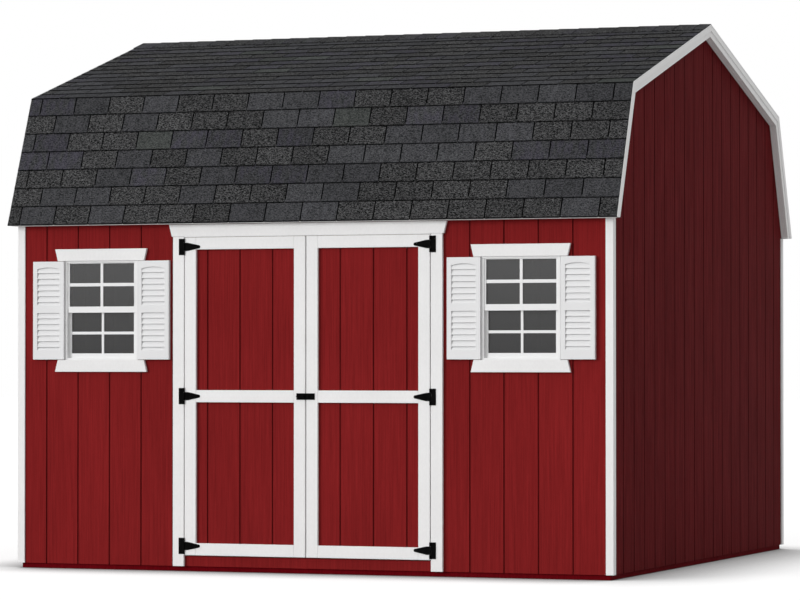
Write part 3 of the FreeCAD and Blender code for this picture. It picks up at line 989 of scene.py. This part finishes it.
pinX = frame["joints"][0]["pos_m"][0]
strapFace = trimLow.y - iron["strap"]
plateScrews = [(pinX + x, strapFace, height + z) for height in iron["heights"] for x, z in iron["plateScrews"]]
strapScrews = [(pinX + x, strapFace, height) for height in iron["heights"] for x in iron["strapScrews"]]
plates = screwedPlate("left_hinge_plates", "left_hinge_leaves", plateScrews)
straps = screwedPlate("left_door_straps", "left_strap_leaves", strapScrews)
fitLeftAndRight(plates, "hinge_black", "left_hinge_plates")
fitLeftAndRight(straps, "hinge_black", "left_door_straps", "left_door")

# ---- latch: the left leaf carries the bolt, drawn back, and the right one its catch
bolt = {
    "radius": 0.0045,
    "reach": 0.0065,  # bolt's middle in front of the plate
    "ends": (0.002, 0.001),  # rod short of the plate's ends
    "ease": 0.0008,
    "knob": (0.003, 0.012),  # radius and length
    "knobPlace": 0.030,  # from the plate's outer end
    "knobSink": 0.002,  # knob's foot in front of the bolt's middle
    "loops": (0.015, 0.008),  # from the plate's outer and inner ends
    "catch": 0.014,
    "loop": 0.009,  # a loop's width and half its height
    "thick": 0.0012,
    "round": 0.005,
    "bore": 0.0006,  # clearance round the bolt
    "screws": (0.006, 0.013),  # from the plate's outer end, and from its middle
    "middleGap": 0.0005,  # each half of the plate ends this near the middle
}
boltY = latchLow.y - bolt["reach"]
inset, rise = bolt["screws"]
latchScrews = [(latchLow.x + inset, latchLow.y, z) for z in (latchZ - rise, latchZ + rise)]
latch = screwedPlate("left_latch_plate", "left_latch", latchScrews)
nudge(latch, (-latchHigh.x - bolt["middleGap"], 0, 0), lambda m: m.x > latchHigh.x - 0.001)
keeper = mirrored(latch, "right_latch")


def boltLoop(x):
    # a strip bent over the bolt and back to the plate
    size = bolt["loop"]
    face = boltY - bolt["radius"] - bolt["thick"]
    clip = addBlock("clip", (x - size / 2, face, latchZ - size), (x + size / 2, latchLow.y, latchZ + size))
    roundOff(clip, bolt["round"], 4, lambda m: m.y < face + 0.0005 and abs(m.x - x) < hair)
    carve(clip, addRod("bore", bolt["radius"] + bolt["bore"], size * 3, (x, boltY, latchZ)))
    return clip


start = latchLow.x + bolt["ends"][0]
stop = latchHigh.x - bolt["ends"][1]
rod = addRod("rod", bolt["radius"], stop - start, ((start + stop) / 2, boltY, latchZ))
radius, length = bolt["knob"]
knob = addRod("knob", radius, length, (length / 2, 0, 0))
for bar in (rod, knob):
    ease(bar, bolt["ease"], 2)
settle(knob, (latchLow.x + bolt["knobPlace"], boltY - bolt["knobSink"], latchZ), (0, 0, -quarter))
loops = [boltLoop(latchLow.x + bolt["loops"][0]), boltLoop(latchHigh.x - bolt["loops"][1])]
latch = ironwork("left_latch", [latch, rod, knob, *loops])
keeper = ironwork("right_latch", [keeper, boltLoop(bolt["catch"] - latchHigh.x)])
fit(latch, "hinge_black", "left_latch_plate", body="left_door")
fit(keeper, "hinge_black", "right_latch_plate", body="right_door")
print("ironwork fixed")

# ---- windows
glassShadeTone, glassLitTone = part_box("left_window_glass")
sashes = (  # upper and lower; face: bars behind the frame's front
    {"face": 0.0080, "bar": (1.6528, 1.6723), "upright": 0.0175, "half": 0.2075, "light": (1.535, glassLitTone.z)},
    {"face": 0.0230, "bar": (1.3716, 1.3880), "upright": 0.0150, "half": 0.2005, "light": (glassShadeTone.z, 1.499)},
)
window = {
    "barDepth": 0.0045,
    "barEase": 0.0011,
    "glassGap": 0.0040,  # between the bars on the glass's two faces
    "frameEase": 0.0009,
    "stripEase": 0.0005,
    "stripEnd": 0.003,
    # strips along the frame: start and stop past its edge, face and back behind its front
    "flange": (-0.001, 0.006, 0.002, wallFace - windowLow.y),
    "cover": (-0.0135, -0.0005, -0.0006, 0.0190),
}


def windowBars():
    # the cross bars of both sashes, on both faces of the glass
    middle = (windowLow.x + windowHigh.x) / 2
    depth = window["barDepth"]
    pieces = []
    for sash in sashes:
        half = sash["half"]
        thin = sash["upright"] / 2
        foot, head = sash["bar"]
        bottom, top = sash["light"]
        face = windowLow.y + sash["face"]
        for near in (face, face + depth + window["glassGap"]):
            far = near + depth
            pieces.append(addBlock("bar", (middle - half, near, foot), (middle + half, far, head)))
            for start, stop in ((bottom, foot + hair), (head - hair, top)):
                pieces.append(addBlock("bar", (middle - thin, near + hair, start), (middle + thin, far - hair, stop)))
    return [ease(piece, window["barEase"]) for piece in pieces]


def sideStrips():
    # a flange beside the frame and a cover over its upright, on both sides
    pieces = []
    for edge, out in ((windowLow.x, -1), (windowHigh.x, 1)):
        for start, stop, face, back in (window["flange"], window["cover"]):
            left, right = sorted((edge + out * start, edge + out * stop))
            strip = addBlock("strip", (left, windowLow.y + face, windowLow.z + window["stripEnd"]),
                             (right, windowLow.y + back, windowHigh.z - window["stripEnd"]))
            pieces.append(ease(strip, window["stripEase"]))
    return pieces


windowFrame = easedCopy("left_window_frame", "frame", window["frameEase"])
leftWindow = joined("left_window_sashes", [windowFrame, *windowBars(), *sideStrips()])
fitLeftAndRight(paint(leftWindow, sashWhite), "window_white", "left_window_frame")
# the panes take the glass with painted shade and a painted lighter top
for node in ("left_window_glass", "right_window_glass"):
    paint(frame["nodes"][node], paintedShadeGlass)

# ---- louvred shutters
shutter = {
    "width": 0.200,
    "stile": 0.027,
    "archTop": 1.765,
    "archRadius": 0.264,
    "midRail": (1.4973, 1.5426),
    "lowerFoot": 1.2794,
    "upperFull": 1.5616,  # foot of the lowest full louvre, upper and lower group
    "lowerFull": 1.2976,
    "upperPitch": 0.0341,
    "lowerPitch": 0.03365,
    "slope": 0.0105,  # how far a louvre's top edge lies behind its foot
    "recess": 0.0010,  # louvres behind the face frame
    "seam": 0.0006,  # between a louvre and the next
    "ease": 0.0008,
    "louvreRound": 0.0012,
    "tuck": 0.003,  # louvres run this far behind the face frame
    "backTuck": 0.004,  # the same for the back sheet, which is as thick
    "backGap": 0.0005,
    "footTuck": 0.002,  # each group's lowest louvre starts this far below its opening
    "headGap": 0.0008,  # the lower group ends this far below the middle rail
    "hang": 0.0035,  # the left shutter of each pair hangs this much nearer its window
}


def louvre(sides, front, back, foot, top):
    # a slat whose top leans into the shutter
    slat = addBlock("louvre", (sides[0], front + shutter["recess"], foot), (sides[1], back - shutter["tuck"], top))
    nudge(slat, (0, shutter["slope"], 0), lambda m: m.z > top - 0.001 and m.y < front + 0.006)
    roundOff(slat, shutter["louvreRound"], 2, lambda m: m.z < foot + 0.001 and m.y < front + 0.006)
    return slat


def buildShutter(low, high):
    left = low.x + shutter["stile"]
    right = high.x - shutter["stile"]
    foot = shutter["lowerFoot"]
    arch = shutter["archTop"]
    railFoot, railTop = shutter["midRail"]
    radius = shutter["archRadius"]
    tuck = shutter["backTuck"]
    face = addBlock("face", low, high)
    upper = addRod("cutter", radius, 2 * reach, ((left + right) / 2, low.y, arch - radius), (quarter, 0, 0), 160)
    carve(face, trim(upper, ((left, 0, 0), (-1, 0, 0)), ((right, 0, 0), (1, 0, 0)), ((0, 0, railTop), (0, 0, -1))))
    carve(face, addBlock("cutter", (left, low.y - reach, foot), (right, high.y + reach, railFoot)))
    back = addBlock("back", (left - tuck, high.y - tuck, foot - tuck),
                    (right + tuck, high.y - shutter["backGap"], arch + tuck))
    pieces = [ease(face, shutter["ease"], 2), back]
    sides = (left - shutter["tuck"], right + shutter["tuck"])
    for bottom, first, stop, pitch in (
        (railTop, shutter["upperFull"], arch + shutter["tuck"], shutter["upperPitch"]),
        (foot, shutter["lowerFull"], railFoot - shutter["headGap"], shutter["lowerPitch"]),
    ):
        pieces.append(louvre(sides, low.y, high.y, bottom - shutter["footTuck"], first - shutter["seam"]))
        slat = louvre(sides, low.y, high.y, first, first + pitch - shutter["seam"])
        repeat(slat, math.ceil((stop - first) / pitch), (0, 0, pitch))
        pieces.append(trim(slat, ((0, 0, stop), (0, 0, 1))))
    return paint(joined("outer", pieces), shutterWhite)


shutterLow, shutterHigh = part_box("left_window_shutters")
firstHigh = Vector((shutterLow.x + shutter["width"], shutterHigh.y, shutterHigh.z))
outer = buildShutter(shutterLow, firstHigh)
inner = duplicate(outer, "inner", (shutterHigh.x - firstHigh.x, 0, 0))
settle(outer, (shutter["hang"], 0, 0))
leftShutters = joined("left_louvred_shutters", [outer, inner])
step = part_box("right_window_shutters")[0].x - shutterLow.x
rightShutters = duplicate(leftShutters, "right_louvred_shutters", (step, 0, 0))
fit(leftShutters, "shutter_white", "left_window_shutters")
fit(rightShutters, "shutter_white", "right_window_shutters")
print("windows and shutters fitted")

# ---- floor and background
studio = {
    "floorHalf": 90.0,
    "floorDrop": 0.0005,
    "floorSeen": 0.34,  # the part that the lamps light, and what the floor throws back
    "floorBounce": 0.46,
    "floorLift": 0.73,  # share of the floor's emitted white, darkened near the shed by a painted contact shadow
    # reach of the painted contact shadow
    "contactReach": 0.52,
    "shadeReach": 0.78,  # the painted contact shadow's reach on the side away from the key light
    "contactStart": 0.46,
    "skyTop": 1.10,
    "skySide": 0.30,
    "keyPower": 1.93,
    "keyHeight": 13.0,  # degrees above the ground
    "keySide": 40.0,  # degrees to the left of the front
    "keySize": 24.0,
}


def straightRays(place):
    # 1 on rays from the camera and on those that gloss or glass sends on
    rays = place.node("LightPath")
    return (rays + rays.sibling("Is Glossy Ray") + rays.sibling("Is Transmission Ray")) > 0.5


clearSelection()
bpy.ops.mesh.primitive_plane_add(size=2 * studio["floorHalf"], location=(0, 0, -studio["floorDrop"]))
ground = bpy.context.object
ground.name = "studio_floor"
bpy.ops.object.transform_apply()
floorFinish, place = newFinish("studio_floor")
grit = place.stretch(3, 3, 3).noise(2.0)
bounce = place.node("BsdfDiffuse", None, {"Color": grey(studio["floorBounce"])})
pale = place.node("BsdfDiffuse", None, {
    "Color": grit.blend(grey(studio["floorSeen"]), grey(studio["floorSeen"] * 1.04))})
across = place.node("SeparateXYZ", None, {"Vector": place})
reach = across.ramp(gableHigh.x, gableHigh.x + 0.2, studio["contactReach"], studio["shadeReach"])
# painted contact shadow: ambient occlusion dims the floor's emitted white near the shed
openness = place.node("AmbientOcclusion", None, {"Distance": reach}, output=1)
glow = place.node("Emission", None, {
    "Color": openness.ramp(studio["contactStart"], 1.0, 0.0, studio["floorLift"])})
lifted = place.node("AddShader", None, {0: pale, 1: glow})
both = place.node("MixShader", None, {0: straightRays(place), 1: bounce, 2: lifted})
place.node("OutputMaterial", None, {"Surface": both})
paint(ground, floorFinish)

# ---- world and key light
world = bpy.data.worlds.new("studio")
bpy.context.scene.world = world
world.use_nodes = True
world.node_tree.nodes.clear()
sky = Flow(world.node_tree)
direction = sky.node("TexCoord")
height = direction.node("SeparateXYZ", None, {"Vector": direction}, output=2)
above = height.ramp(0.0, 1.0, studio["skySide"], studio["skyTop"])
light = sky.node("Background", None, {"Color": grey(1.0), "Strength": above})
white = sky.node("Background", None, {"Color": grey(1.0)})
surface = sky.node("MixShader", None, {0: straightRays(sky), 1: light, 2: white})
sky.node("OutputWorld", None, {"Surface": surface})

keyData = bpy.data.lights.new("key", "SUN")
keyData.energy = studio["keyPower"]
keyData.angle = math.radians(studio["keySize"])
key = addToScene("key", keyData)
key.visible_glossy = False  # its wide disc would show in the window glass
key.rotation_euler = (quarter - math.radians(studio["keyHeight"]), 0, -math.radians(studio["keySide"]))

# ---- camera
view = {
    "place": (7.8619, -21.0394, 1.2103),
    "lens": 163.2,
    "turn": 20.787,
    "tilt": 0.98,
}
cameraData = bpy.data.cameras.new("camera")
cameraData.lens = view["lens"]
cameraData.clip_end = 400
camera = addToScene("camera", cameraData)
camera.location = view["place"]
camera.rotation_euler = (quarter + math.radians(view["tilt"]), 0, math.radians(view["turn"]))
bpy.context.scene.camera = camera
bpy.context.scene.view_settings.view_transform = "Standard"

print("scene ready")
